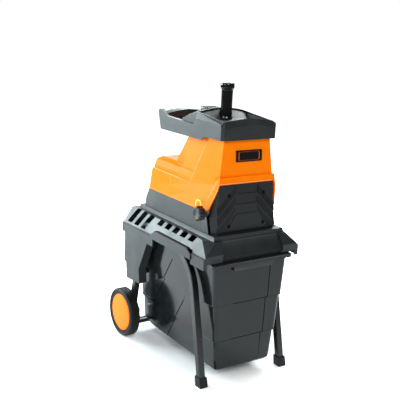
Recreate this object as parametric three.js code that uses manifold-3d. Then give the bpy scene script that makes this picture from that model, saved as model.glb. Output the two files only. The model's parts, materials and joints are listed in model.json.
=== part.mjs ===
// Electric garden chipper on a wheeled stand: feed hopper with plunger, orange motor housing,
// roller cutter with gear drive, and a pull-out collection bin. Millimetres, +Z up, the front
// faces -Y, and the origin is on the ground under the middle of the machine.
import * as THREE from 'three';
import { ConvexGeometry } from 'three/addons/geometries/ConvexGeometry.js';
import { mergeVertices } from 'three/addons/utils/BufferGeometryUtils.js';
import Module from 'manifold-3d';

const wasm = await Module();
wasm.setup();

// ---------- driving dimensions ----------
const GAP = 0.3; // left between pieces that touch
const WALL = 3; // moulded plastic wall

const STAND_X = 182; // centre of each side tube
const TUBE = 25; // square tube across the flats
const TUBE_WALL = 1.5;
const FRONT_LEG = { y: -302, slope: 0.22, bend: 180 };
const REAR_LEG = { y: 254, slope: -0.2, bend: 45 };
const STAND_TOP = 485; // centre height of the level run

const WHEEL = { radius: 100, width: 45, inner: 197, y: 234 };
const HUB_CAP_RADIUS = 76;
const AXLE_RADIUS = 6;

const COVER = { half: 216, front: -321, rear: 274, top: 556 };
const HOUSING = { half: 150, seam: 632, rearLow: 206, rearHigh: 177 };
const NECK_TOP = 885;
const RIM = { half: 120, front: -263, rear: 173, inner: 105 };
const MOUTH = { front: -252, rear: -80, half: 102 };

const BIN = { bottom: 43, top: 466, rear: 243, lipFront: -334 };

const CHAMBER = { half: 72, front: -256, rear: -162, low: 566, high: 699.5 };
const DRUM = { z: 640, radius: 45, front: -248, rear: -170, shaft: 10 };
const PLUNGER_Y = -111;
const KNOB = { y: -233, z: 632, radius: 27, thick: 26, outer: -194 };

// ---------- geometry helpers ----------
function toSolid(geometry) {
  const bare = geometry.clone();
  for (const name of Object.keys(bare.attributes)) {
    if (name !== 'position') bare.deleteAttribute(name);
  }
  const merged = mergeVertices(bare, 1e-4);
  const index = [];
  for (let i = 0; i < merged.index.count; i += 3) {
    const [a, b, c] = [0, 1, 2].map((k) => merged.index.getX(i + k));
    if (a !== b && b !== c && a !== c) index.push(a, b, c);
  }
  return new wasm.Manifold(new wasm.Mesh({
    numProp: 3,
    vertProperties: new Float32Array(merged.attributes.position.array),
    triVerts: new Uint32Array(index),
  }));
}

function toGeometry(solid) {
  const mesh = solid.getMesh();
  const geometry = new THREE.BufferGeometry();
  geometry.setAttribute('position', new THREE.BufferAttribute(mesh.vertProperties, 3));
  geometry.setIndex(new THREE.BufferAttribute(mesh.triVerts, 1));
  geometry.computeVertexNormals();
  return geometry;
}

const join = (...solids) => solids.reduce((a, b) => a.add(b));
const cut = (solid, ...tools) => tools.reduce((a, b) => a.subtract(b), solid);

function block(x0, x1, y0, y1, z0, z1) {
  const box = new THREE.BoxGeometry(x1 - x0, y1 - y0, z1 - z0);
  return toSolid(box.translate((x0 + x1) / 2, (y0 + y1) / 2, (z0 + z1) / 2));
}

const hull = (points) => toSolid(new ConvexGeometry(points.map((p) => new THREE.Vector3(...p))));

// Convex body through level rectangles [halfWidth, front, rear, z].
const tower = (...levels) => hull(levels.flatMap(([half, front, rear, z]) => [
  [-half, front, z], [half, front, z], [half, rear, z], [-half, rear, z],
]));

// Convex body through level trapezoids [frontHalf, front, rearHalf, rear, z].
const wedge = (...levels) => hull(levels.flatMap(([frontHalf, front, rearHalf, rear, z]) => [
  [-frontHalf, front, z], [frontHalf, front, z], [rearHalf, rear, z], [-rearHalf, rear, z],
]));

// An outline [u, v] carried along an axis: u, v are y, z for 'x'; x, z for 'y'; x, y for 'z'.
const TURN = {
  x: new THREE.Matrix4().set(0, 0, 1, 0, 1, 0, 0, 0, 0, 1, 0, 0, 0, 0, 0, 1),
  y: new THREE.Matrix4().set(1, 0, 0, 0, 0, 0, -1, 0, 0, 1, 0, 0, 0, 0, 0, 1),
  z: new THREE.Matrix4(),
};
function prism(axis, outline, from, to) {
  const shape = new THREE.Shape(outline.map(([u, v]) => new THREE.Vector2(u, v)));
  const body = new THREE.ExtrudeGeometry(shape, { depth: to - from, bevelEnabled: false });
  body.translate(0, 0, axis === 'y' ? -to : from);
  return toSolid(body.applyMatrix4(TURN[axis]));
}

// A round bar along an axis, centred on the two other coordinates.
function bar(axis, radius, [u, v], from, to, sides = 20) {
  const circle = Array.from({ length: sides }, (_, i) => {
    const turn = (2 * Math.PI * i) / sides;
    return [u + radius * Math.cos(turn), v + radius * Math.sin(turn)];
  });
  return prism(axis, circle, from, to);
}

const ring = (axis, outer, inner, centre, from, to, sides = 20) => cut(
  bar(axis, outer, centre, from, to, sides),
  bar(axis, inner, centre, from - 1, to + 1, sides),
);

// A body turned about the X axis direction: profile of [radius, x] points, for wheels.
function turned(profile, y, z, sides = 28) {
  const points = profile.map(([r, x]) => new THREE.Vector2(r, x));
  const lathe = new THREE.LatheGeometry([...points, points[0]], sides);
  lathe.rotateZ(-Math.PI / 2);
  return toSolid(lathe.translate(0, y, z));
}

const mirror = (solid) => solid.mirror([1, 0, 0]);

// Convex body through points given for the right side only, as [x, y, z].
const hullBoth = (points) => hull(points.flatMap(([x, y, z]) => [[x, y, z], [-x, y, z]]));

// Convex body through level rectangles whose upright corners are rounded.
function roundTower(radius, ...levels) {
  const steps = [0, 1, 2, 3, 4].map((i) => (i * Math.PI) / 8);
  return hullBoth(levels.flatMap(([half, front, rear, z]) => steps.flatMap((a) => {
    const x = half - radius + radius * Math.cos(a);
    const reach = radius - radius * Math.sin(a);
    return [[x, front + reach, z], [x, rear - reach, z]];
  })));
}

// Closed skin between outlines that all have the same number of points.
function loft(outlines) {
  const count = outlines[0].length;
  const corners = outlines.flat();
  const triangles = [];
  for (let k = 0; k + 1 < outlines.length; k += 1) {
    for (let i = 0; i < count; i += 1) {
      const [a, b] = [k * count + i, k * count + ((i + 1) % count)];
      triangles.push(a, b, b + count, a, b + count, a + count);
    }
  }
  const flat = (outline) => outline.map(([x, y]) => new THREE.Vector2(x, y));
  const top = (outlines.length - 1) * count;
  for (const [a, b, c] of THREE.ShapeUtils.triangulateShape(flat(outlines[0]), [])) triangles.push(a, c, b);
  for (const [a, b, c] of THREE.ShapeUtils.triangulateShape(flat(outlines.at(-1)), [])) {
    triangles.push(top + a, top + b, top + c);
  }
  const geometry = new THREE.BufferGeometry();
  geometry.setAttribute('position', new THREE.Float32BufferAttribute(corners.flat(), 3));
  geometry.setIndex(triangles);
  return toSolid(geometry);
}

// A loft whose outlines are given for the right side, from front to rear; the left is mirrored.
const loftBoth = (outlines) => loft(outlines.map((right) => [
  ...right, ...[...right].reverse().map(([x, y, z]) => [-x, y, z]),
]));

// Sheet of even depth under a grid of surface points, rows from front to rear.
function sheet(rows, depth) {
  const [tall, wide] = [rows.length, rows[0].length];
  const upper = rows.flat();
  const corners = [...upper, ...upper.map(([x, y, z]) => [x, y, z - depth])];
  const under = upper.length;
  const triangles = [];
  const quad = (a, b, c, d) => triangles.push(a, b, c, a, c, d);
  for (let r = 0; r + 1 < tall; r += 1) {
    for (let i = 0; i + 1 < wide; i += 1) {
      const [a, b] = [r * wide + i, (r + 1) * wide + i];
      quad(a, a + 1, b + 1, b);
      quad(under + a, under + b, under + b + 1, under + a + 1);
    }
  }
  const edge = [
    ...Array.from({ length: wide - 1 }, (_, i) => i),
    ...Array.from({ length: tall - 1 }, (_, r) => r * wide + wide - 1),
    ...Array.from({ length: wide - 1 }, (_, i) => tall * wide - 1 - i),
    ...Array.from({ length: tall - 1 }, (_, r) => (tall - 1 - r) * wide),
  ];
  edge.forEach((a, i) => {
    const b = edge[(i + 1) % edge.length];
    quad(under + a, under + b, b, a);
  });
  const geometry = new THREE.BufferGeometry();
  geometry.setAttribute('position', new THREE.Float32BufferAttribute(corners.flat(), 3));
  geometry.setIndex(triangles);
  return toSolid(geometry);
}

const group = new THREE.Group();
function addPart(name, solid, color, roughness = 0.5, metalness = 0) {
  const material = new THREE.MeshStandardMaterial({ color, roughness, metalness });
  const mesh = new THREE.Mesh(toGeometry(solid), material);
  mesh.name = name;
  group.add(mesh);
}

const COLOR = {
  orange: 0xff8a12, grey: 0x4a5252, dark: 0x2b2f33, black: 0x121314, rubber: 0x17181a,
  steel: 0xa8acb0, cast: 0x9a9d9e, red: 0xc22a1d, green: 0x2f8f45, yellow: 0xf2dc1e,
};

// ---------- stand ----------
const frontLegY = (z) => FRONT_LEG.y + FRONT_LEG.slope * z;
const rearLegY = (z) => REAR_LEG.y + REAR_LEG.slope * z;

// Arc that rounds the corner between a leg and the level run, as points from leg to run.
function legBend(corner, slope, radius, side, count) {
  const lean = Math.atan(Math.abs(slope));
  const turn = Math.PI / 2 - lean;
  const tangent = radius * Math.tan(turn / 2);
  const centre = [corner[0] + side * tangent, corner[1] - radius];
  return Array.from({ length: count + 1 }, (_, i) => {
    const a = lean + (turn * i) / count;
    return [centre[0] - side * radius * Math.cos(a), centre[1] + radius * Math.sin(a)];
  });
}

function standPath() {
  const front = legBend([frontLegY(STAND_TOP), STAND_TOP], FRONT_LEG.slope, FRONT_LEG.bend, 1, 6);
  const rear = legBend([rearLegY(STAND_TOP), STAND_TOP], REAR_LEG.slope, REAR_LEG.bend, -1, 4);
  return [[frontLegY(6), 6], ...front, ...rear.reverse(), [rearLegY(20), 20]];
}

// Square tube through the path points, each length mitred to the next.
function sweptTube(path, x, half) {
  const offsets = path.map((p, i) => {
    const before = path[Math.max(i - 1, 0)];
    const after = path[Math.min(i + 1, path.length - 1)];
    const inDir = new THREE.Vector2(p[0] - before[0], p[1] - before[1]).normalize();
    const outDir = new THREE.Vector2(after[0] - p[0], after[1] - p[1]).normalize();
    const along = inDir.clone().add(outDir).normalize();
    const stretch = 1 / Math.max(along.dot(i ? inDir : outDir), 0.2);
    return [-along.y * half * stretch, along.x * half * stretch];
  });
  const upper = path.map(([y, z], i) => [y + offsets[i][0], z + offsets[i][1]]);
  const lower = path.map(([y, z], i) => [y - offsets[i][0], z - offsets[i][1]]);
  return prism('x', [...upper, ...lower.reverse()], x - half, x + half);
}

const CROSS_Y = [-25, 118]; // the two cross members
const CROSS_Z = [STAND_TOP + TUBE / 2 + GAP, STAND_TOP + TUBE / 2 + 6];

function standTube() {
  const path = standPath();
  const run = path.map((p) => [...p]);
  run[0] = [frontLegY(0), 0];
  run[run.length - 1] = [rearLegY(10), 10];
  const outer = sweptTube(path, STAND_X, TUBE / 2);
  const bore = sweptTube(run, STAND_X, TUBE / 2 - TUBE_WALL);
  const bolts = CROSS_Y.map((y) => bar('z', 4.4, [STAND_X, y], STAND_TOP - 20, STAND_TOP + 20, 12));
  const axleHole = bar('x', AXLE_RADIUS + GAP, [WHEEL.y, WHEEL.radius], STAND_X - 20, STAND_X + 20, 16);
  return cut(outer, bore, axleHole, ...bolts);
}

function footCap() {
  const half = TUBE / 2 + GAP;
  const outer = hull([[0, 17.5], [36, 16.5]].flatMap(([z, reach]) => [
    [STAND_X - reach, frontLegY(z) - reach, z], [STAND_X + reach, frontLegY(z) - reach, z],
    [STAND_X - reach, frontLegY(z) + reach, z], [STAND_X + reach, frontLegY(z) + reach, z],
  ]));
  const socket = hull([5.7 - 2.6, 40].flatMap((z) => [
    [STAND_X - half, frontLegY(z) - half - 0.4, z], [STAND_X + half, frontLegY(z) - half - 0.4, z],
    [STAND_X - half, frontLegY(z) + half + 0.4, z], [STAND_X + half, frontLegY(z) + half + 0.4, z],
  ]));
  return cut(outer, socket);
}

const leftTube = mirror(standTube());
addPart('left_stand_tube', leftTube, COLOR.black, 0.35, 0.3);
addPart('right_stand_tube', standTube(), COLOR.black, 0.35, 0.3);
addPart('left_foot_cap', mirror(footCap()), COLOR.rubber, 0.8);
addPart('right_foot_cap', footCap(), COLOR.rubber, 0.8);

const TIE_Z = 36;
addPart('rear_tie_bar', bar('x', 10, [rearLegY(TIE_Z), TIE_Z], -STAND_X + 12.8, STAND_X - 12.8),
  COLOR.black, 0.35, 0.3);

// Studs welded under each cross member go down into the tubes.
CROSS_Y.forEach((y, i) => {
  const plate = block(-188, 188, y - 15, y + 15, ...CROSS_Z);
  const studs = [-STAND_X, STAND_X].map((x) => bar('z', 4, [x, y], STAND_TOP - 6, CROSS_Z[1] + 3, 12));
  addPart(i ? 'rear_cross_member' : 'front_cross_member', join(plate, ...studs), COLOR.steel, 0.4, 0.8);
});

// ---------- wheels ----------
const AXLE_END = WHEEL.inner + 38;
// The axle drops between the legs, so that it passes below the bin.
const AXLE_LOW = 58;
const axleHalf = join(
  bar('x', AXLE_RADIUS, [WHEEL.y, WHEEL.radius], 152, AXLE_END),
  block(150, 162, WHEEL.y - 6, WHEEL.y + 6, AXLE_LOW - 6, WHEEL.radius + 7),
);
addPart('axle', join(axleHalf, mirror(axleHalf), bar('x', AXLE_RADIUS, [WHEEL.y, AXLE_LOW], -155, 155)),
  COLOR.steel, 0.3, 0.9);

function wheelParts() {
  const [near, far] = [WHEEL.inner, WHEEL.inner + WHEEL.width];
  const R = WHEEL.radius;
  const tyre = turned([[88, near + 2], [R - 5, near], [R, near + 6], [R, far - 6], [R - 4, far], [90, far],
    [88, far - 3]], WHEEL.y, R, 40);
  const disc = turned([[AXLE_RADIUS + 0.15, near + 1], [20, near + 1], [20, near + 14], [70, near + 18],
    [80, near + 4], [87.7, near + 4], [87.7, far - 3], [82, far - 2], [HUB_CAP_RADIUS + 0.6, far - 3],
    [HUB_CAP_RADIUS + 0.6, far - 9], [66, far - 9], [64, near + 24], [20, near + 22], [20, far - 12],
    [AXLE_RADIUS + 0.15, far - 12]], WHEEL.y, R);
  const cap = turned([[0, far - 5], [HUB_CAP_RADIUS - 4, far - 6], [HUB_CAP_RADIUS - 4, far - 8.6],
    [HUB_CAP_RADIUS, far - 8.6],
    [HUB_CAP_RADIUS, far - 3], [HUB_CAP_RADIUS - 4, far - 1], [0, far]], WHEEL.y, R);
  const retainer = ring('x', 12, AXLE_RADIUS + 0.1, [WHEEL.y, R], far - 11.6, far - 8.6, 20);
  return { tyre, wheel_disc: disc, hub_cap: cap, wheel_retainer: retainer };
}
const WHEEL_LOOK = {
  tyre: [COLOR.rubber, 0.85], wheel_disc: [COLOR.dark, 0.6], hub_cap: [COLOR.orange, 0.4],
    wheel_retainer: [COLOR.steel, 0.4, 0.9],
};
for (const [name, solid] of Object.entries(wheelParts())) {
  addPart(`left_${name}`, mirror(solid), ...WHEEL_LOOK[name]);
  addPart(`right_${name}`, solid, ...WHEEL_LOOK[name]);
}

// ---------- base cover and rear shrouds ----------
const CHIP_PORT = { half: 62, front: -248, rear: -170 };

function baseCover() {
  const { half, front, rear, top } = COVER;
  const ledge = HOUSING.half + 6;
  // Sloping body whose front corners are cut off on the slant.
  const slope = (by) => hullBoth([
    [half - 4 - by, front + by, 470], [half - 11 - by, front + by * 2, 498 - by],
      [152, front + 19 + by * 2, 541 - by],
    [178 - by, front + 66, 541 - by], [178 - by, rear - 13 - by, 541 - by],
      [half - 4 - by, rear - by, 477 - by],
    [half - 4 - by, rear - by, 470],
  ]);
  // Three lengths of the lip: the middle one stands higher, with a slanted step at each end.
  const lengths = [
    [half - 4, [[front, 452], [-237, 452], [-237, 492], [front, 492]]],
    [half, [[-240, 469], [32, 469], [46, 480], [14, 505], [-212, 505], [-240, 490]]],
    [half, [[26, 440], [rear, 440], [rear, 478], [26, 478]]],
  ];
  const outer = join(
    slope(0),
    ...lengths.map(([x, outline]) => prism('x', outline, -x, x)),
    tower([ledge, front + 26, rear - 36, 540], [ledge - 3, front + 28, rear - 38, top]),
  );
  const inner = join(
    slope(WALL),
    block(-half + 7, half - 7, front + WALL, -237, 430, 489),
    block(-half + WALL, half - WALL, -237, 8, 430, 502),
    block(-half + WALL, half - WALL, -3, rear - WALL, 430, 475),
    tower([ledge - 5, front + 30, rear - 41, 530], [ledge - 6, front + 31, rear - 41, top - WALL]),
  );
  // The middle of the front is hollowed, and its lower edge is raised over the bin's lip.
  const scoopFront = hull([[-124, 541], [-132, 470], [130, 541], [142, 470]].flatMap(([x, z]) => [
    [x, front - 30, z], [x, front + 40, z],
  ]));
  const hollow = bar('x', 107, [front - 83, 544], -160, 160, 72).intersect(scoopFront);
  const lining = bar('x', 107 + WALL, [front - 83, 544], -165, 165, 72);
  const notches = [[131, 479], [196, 470]].map(([x, z]) => block(-x, x, front - 5, front + 12, 440, z));
  const port = block(-CHIP_PORT.half, CHIP_PORT.half, CHIP_PORT.front, CHIP_PORT.rear, 530, 570);
  return cut(outer, cut(inner, lining), hollow, port, ...notches, ...ventSlots());
}

// Vents in the sloping sides: three long ones at the back, then five short ones.
function ventSlots() {
  const long = [229, 175, 121].map((y) => [y, 487]);
  const short = [24, -31, -86, -141, -196].map((y) => [y, 522]);
  return [...long, ...short].flatMap(([y, low]) => {
    const lean = (z) => y - (z - low) * 0.54;
    const slot = hull([[170, low], [230, low], [168, 546], [230, 546]].flatMap(([x, z]) => [
      [x, lean(z) - 17, z], [x, lean(z) + 17, z],
    ]));
    return [slot, mirror(slot)];
  });
}
addPart('base_cover', baseCover(), COLOR.grey, 0.55);

// Shroud over each rear leg, open towards the bin.
function rearShroud() {
  const outline = [[271, 439.7], [269, 310], [256, 309], [247, 243], [138, 251], [147, 310], [88, 428],
    [88, 439.7]];
  const core = [[268, 450], [266, 313], [253, 312], [244, 230], [141, 230], [150.2, 311], [91.2, 428.6],
    [91.2, 450]];
  return cut(prism('x', outline, 171, 206), prism('x', core, 160, 203));
}
addPart('left_rear_shroud', mirror(rearShroud()), COLOR.grey, 0.55);
addPart('right_rear_shroud', rearShroud(), COLOR.grey, 0.55);

// ---------- collection bin and its rails ----------
function binBody() {
  const levels = [
    [[127, -304, 236, BIN.bottom + 28], [133, -309, 237, 163]],
    [[139, -311, 238, 163], [147, -315, 239, 303]],
    [[154, -317, 240, 303], [161, -321, 242, 432], [161.5, -321, 242, 452]],
  ];
  // The foot slopes up at the rear, clear of the axle.
  const foot = roundTower(14, [118, -296, 176, BIN.bottom], [124, -302, 190, BIN.bottom + 7],
    ...levels[0].slice(0, 1));
  const outer = join(foot, ...levels.map((pair) => roundTower(16, ...pair)));
  const inner = levels.map((pair, i) => roundTower(13, ...pair.map(([half, front, rear, z], j) => [
    half - WALL, front + 5.5, rear - WALL, z + (j ? 0.5 : i ? -0.5 : 0),
  ])));
  inner.push(roundTower(13, [121, -297, 172, BIN.bottom + 4], [124, -298.5, 233, BIN.bottom + 29]));
  return [outer, inner];
}

// Grooves that run slantwise down each side of the bin, as [y, z] from end to end.
const SIDE_GROOVES = [[[-33, 401], [122, 176]], [[122, 174], [262, 168]], [[-136, 307], [50, 38]]];
function sideGroove([[y0, z0], [y1, z1]]) {
  const length = Math.hypot(y1 - y0, z1 - z0);
  const [u, v] = [((z1 - z0) / length) * 2.2, ((y1 - y0) / length) * 2.2];
  const depth = (z) => 160 - (452 - z) * 0.076 - (z < 303 ? 5.5 : 0) - (z < 163 ? 5.5 : 0);
  return [[y0, z0], [y1, z1]].flatMap(([y, z]) => [[y - u, z + v], [y + u, z - v]].flatMap(([a, b]) => [
    [depth(z), a, b], [190, a, b],
  ]));
}

function collectionBin() {
  const [outer, inner] = binBody();
  const rim = block(-166, 166, -322, BIN.rear, 452, BIN.top);
  const lip = join(
    roundTower(11, [176.5, BIN.lipFront, -306, 452], [176.5, BIN.lipFront, -306, 464]),
    roundTower(11, [173, BIN.lipFront + 3, -309, 464], [171, BIN.lipFront + 6, -310, BIN.top + 2]),
    tower([84, BIN.lipFront + 3, -318, 434], [92, BIN.lipFront, -318, 453]),
  );
  const mouth = block(-156, 156, -315, 238, 440, 480);
  const grip = tower([78, BIN.lipFront + 6, -321.5, 430], [84, BIN.lipFront + 3, -321.5, 447]);
  // The middle of the front is set back 2.2 mm between the two corner columns.
  const panels = [[-74, 86, 303.5, -317, 431, -320.5], [-70, 78, 164, -311, 302.5, -315],
    [-64, 70, 60, -305, 162.5, -309]]
    .map(([x0, x1, low, lowFace, high, highFace]) => hull([x0, x1].flatMap((x) => [
      [x, -340, low], [x, lowFace + 2.2, low], [x, -340, high], [x, highFace + 2.2, high],
    ])));
    const grooves = SIDE_GROOVES.map((line) => hull(sideGroove(line)));
  return cut(join(cut(outer, ...panels, ...grooves, ...grooves.map(mirror)), rim, lip), ...inner, mouth,
    grip);
}
addPart('collection_bin', collectionBin(), COLOR.dark, 0.25);

function binRail() {
  const web = block(166.6, 169, -150, 195, 445, STAND_TOP + TUBE / 2);
  const foot = block(162.6, 169, -150, 195, 445, 451.6);
  return join(web, foot);
}
addPart('left_bin_rail', mirror(binRail()), COLOR.steel, 0.4, 0.8);
addPart('right_bin_rail', binRail(), COLOR.steel, 0.4, 0.8);

// ---------- lower housing and front grille ----------
const FRONT_EDGE = { low: -250, high: -231 }; // front edge of the grey side walls

function lowerHousing() {
  const { half, seam, rearLow, rearHigh } = HOUSING;
  const base = COVER.top + GAP;
  const outer = tower([half, FRONT_EDGE.low, rearLow, base], [half, -240, 201, 590],
    [half, FRONT_EDGE.high, rearHigh, seam]);
  const inner = tower([half - WALL, -300, rearLow - WALL, base - 1], [half - WALL, -300, 201 - WALL, 590],
    [half - WALL, -300, rearHigh - WALL, seam + 1]);
  const spindleHole = bar('x', 8, [KNOB.y, KNOB.z], -160, -100, 20);
  const knobBoss = ring('x', 15, 8, [KNOB.y, KNOB.z], -168, -150, 24);
  const inletHole = block(54, 106, 150, 230, 583, 627);
  return cut(join(cut(outer, inner), cut(knobBoss, block(-200, 0, -300, -200, seam, 700))), spindleHole,
    inletHole);
}
addPart('lower_housing', lowerHousing(), COLOR.grey, 0.55);

// Outline of the orange side walls, right side, from front to rear, grown outwards by a little.
// They are straight at the seam and lean in more at the front, where they run up into the neck.
function sideWall(by) {
  const { half, seam, rearHigh } = HOUSING;
  const low = seam + GAP - by;
  const level = (front, side, rear) => [
    [front[0] + by, front[1] - by, front[2]], ...side.map(([x, y, z]) => [x + by, y, z + by]),
    [rear[0] + by, rear[1] + by, rear[2] + by],
  ];
  return [
    level([150, -231, low], [[150, -160, low - by], [150, -85, low - by], [150, 40, low - by]],
      [half, rearHigh, low - by]),
    level([137, -242, 671], [[138, -162, 671], [139.5, -85, 671], [143, 40, 674]], [147.5, 171, 677]),
    level([126, -252, 710], [[128, -165, 709], [130.5, -86, 709], [136.5, 40, 714]], [144, 166, 719.5]),
  ];
}

// The front of the neck stands a little proud of its sides and rear.
const NECK = [
  [[126, -252, 706], [131.5, -84, 706]],
  [[119, -257, 732], [126.5, -96, 732]],
  [[114, -254.5, 771], [120, -111, 771]],
  [[107, -251.5, 828], [112.5, -136, 828]],
  [[101, -248, NECK_TOP - GAP], [105, -160, NECK_TOP - GAP]],
];
const neckFront = (by) => NECK.map((level) => level.map(([x, y, z], i) => [x + by, y + (i ? by : -by), z]));

// Raised edge along the slanted front of each side wall, down over the grille's cheek.
const edgeStrip = (by) => hull([
  [151.5, -212, 640], [151.5, -238, 632.3], [131, -262.5, 711], [124.5, -264, 734], [121.5, -262, 757],
  [120, -253, 757],
].flatMap(([x, y, z]) => [[x + by, y - by, z], [x - 5 - by, y + by, z]]));

function frontGrille() {
  const base = COVER.top + GAP;
  const outer = wedge([124, -270, 148, -233, base], [119.5, -260, 128, -240, 731.4]);
  const inner = wedge([124 - WALL, -270 + WALL, 147, -228, base - 1],
    [119.5 - WALL, -260 + WALL, 126, -230, 732]);
  const side = prism('x', [[-251.5, 540], [-234, HOUSING.seam + 1], [0, HOUSING.seam + 1], [0, 540]], -200,
    200);
  const spindleHole = bar('x', 9, [KNOB.y, KNOB.z], -160, -100, 20);
  const face = (z, proud) => -270 + ((z - base) * 10) / 175 - proud;
  // Bands slant outwards and down on both sides, each with its lower edge proud of the next.
  const bands = [0, 1, 2, 3, 4].map((i) => hull([
    [48, face(732 - 38 * i, -1), 732 - 38 * i], [48, face(700 - 38 * i, 3.4), 698 - 38 * i],
    [126, face(654 - 38 * i, -1), 654 - 38 * i], [126, face(622 - 38 * i, 3.4), 620 - 38 * i],
    [48, face(700 - 38 * i, -1.5), 698 - 38 * i], [126, face(622 - 38 * i, -1.5), 620 - 38 * i],
  ]));
  const bandArea = cut(
    block(-126, 126, -290, -250, base + 3, 727),
    prism('y', [[-47, 740], [47, 740], [47, 640], [92, 570], [92, 500], [-92, 500], [-92, 570], [-47, 640]],
      -300, -200),
  );
  // Ribs across the cheeks behind the corners.
  const ribs = [590, 622, 654, 686].map((z) => hull([[0, z], [4, z - 1],
    [4, z + 1]].flatMap(([proud, level]) => {
    const t = (level - base) / 175;
    return [[124.6 - 4 * t + proud * 0.5, -268 + 9 * t - proud * 0.2, level],
      [146 - 18 * t + proud * 0.5, -236 - 2 * t, level]];
  })));
  const panel = hullBoth([[46, 622], [84, 564],
    [46, 564]].flatMap(([x, z]) => [[x, face(z, 1.8), z], [x, face(z, -1), z]]));
  const slots = [698, 660].map((z) => block(-43, 41, -290, -240, z - 3.6, z + 3.6));
  const line = block(-43, 41, -290, face(626, -1), 625, 627.5);
  const screwHoles = GRILLE_SCREWS.map(([x, z]) => bar('y', 7, [x, z], -290, -240, 16));
  const seats = GRILLE_SCREWS.map(([x, z]) => cut(
    bar('y', 9.5, [x, z], face(z, -1), face(z, -5.8), 20),
    bar('y', 2.6, [x, z], face(z, 1), face(z, -8), 10),
    bar('y', 7, [x, z], face(z, 1), face(z, -5), 16),
  ));
  const front = cut(outer, inner, side, spindleHole);
  const raised = join(...bands, ...bands.map(mirror)).intersect(bandArea);
  return cut(
    join(cut(join(front, raised, panel, ...ribs, ...ribs.map(mirror)), ...slots, line, ...screwHoles),
      ...seats),
    loftBoth(sideWall(0.5)), hullBoth(neckFront(0.5).flat()), edgeStrip(0.5), mirror(edgeStrip(0.5)),
    block(-140, -118, -249.5, -220, 700, 740), block(118, 140, -249.5, -220, 700, 740),
  );
}
const GRILLE_SCREWS = [[-76, 692], [76, 692], [-76, 581], [76, 581]];
addPart('front_grille', frontGrille(), COLOR.dark, 0.5);

GRILLE_SCREWS.forEach(([x, z], i) => {
  const face = -270 + ((z - COVER.top) * 10) / 175;
  addPart(`grille_screw_${i + 1}`, join(
    bar('y', 4.6, [x, z], face + 2.2, face + 4.7, 12),
    bar('y', 2, [x, z], face + 4, face + 11, 8),
  ), COLOR.steel, 0.4, 0.9);
});

// ---------- orange upper housing ----------
function upperHousing() {
  // Shoulder set in from the side walls, and the motor cover's top.
  const shoulder = [
    [[129, -100, 706], [129, -86, 706], [140, 160, 712]],
    [[126, -100, 724], [126, -88, 725], [138.5, 158, 732.5]],
    [[121.5, -100, 748], [121.5, -14, 749], [130.5, 156, 755]],
    [[108, -100, 762], [108, 52, 764], [112, 146, 765]],
  ];
  const sides = [[[117, -190, 740], [118.5, -6, 740]],
    [[94, -200, NECK_TOP - GAP], [94.5, -44, NECK_TOP - GAP]]];
  const back = [[[106, -120, 750], [106, 60, 750]], [[90, -200, NECK_TOP - GAP], [90, -20, NECK_TOP - GAP]]];
  const lip = wedge([122.5, -264, 126, -240, 732], [120, -261, 124, -240, 757]);
  const outer = join(
    loftBoth(sideWall(0)), loftBoth(shoulder), loftBoth(neckFront(0)), hullBoth(sides.flat()),
      hullBoth(back.flat()),
    lip, edgeStrip(0), mirror(edgeStrip(0)),
  );
  // The same bodies a wall's thickness smaller; "ahead" moves the first point of each outline.
  const shrink = (levels, ahead, top) => levels.map((level, k) => level.map(([x, y, z], i) => [
    x - WALL, y + (i === 0 ? ahead : 0) - (i === level.length - 1 ? WALL : 0),
    z + (k === 0 ? -1 : 0) + (k === levels.length - 1 ? top : 0),
  ]));
  const inner = [
    loftBoth(shrink(sideWall(0), WALL, -WALL)), loftBoth(shrink(shoulder, -WALL, -WALL)),
    loftBoth(shrink(neckFront(0), WALL, 1)),
    hullBoth(shrink(sides, -WALL, 1).flat()), hullBoth(shrink(back, -WALL, 1).flat()),
  ];
  // The front is open where the grille stands, and the adjuster goes in through the left side.
  const frontOpening = wedge([134, -300, 134, -228, 620], [110, -300, 110, -228, 731]);
  const spindleHole = bar('x', 8, [KNOB.y, KNOB.z], -160, -60, 20);
  return cut(outer, ...inner, frontOpening, spindleHole);
}
addPart('upper_housing', upperHousing(), COLOR.orange, 0.4);
addPart('badge_plate', hull([[-50, 808], [65, 808], [-50, 849], [65, 849]].flatMap(([x, z]) => {
  const face = -259 + ((z - 732) * 10) / 153;
  return [[x, face - 1.6, z], [x, face - GAP, z]];
})), COLOR.black, 0.3);

// ---------- hopper rim, hood and handle ----------
const arch = (half, side, rise, count = 6) => Array.from({ length: count + 1 }, (_, i) => {
  const x = -half + (2 * half * i) / count;
  return [x, side + rise * (1 - (x / half) ** 2)];
});

// Convex slab between two arched ends [y, halfWidth, sideHeight, rise], down to a floor.
const archedBlock = (a, b, floor) => hull([a, b].flatMap(([y, half, side, rise]) => [
  ...arch(half, side, rise).map(([x, z]) => [x, y, z]), [-half, y, floor], [half, y, floor],
]));

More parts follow.
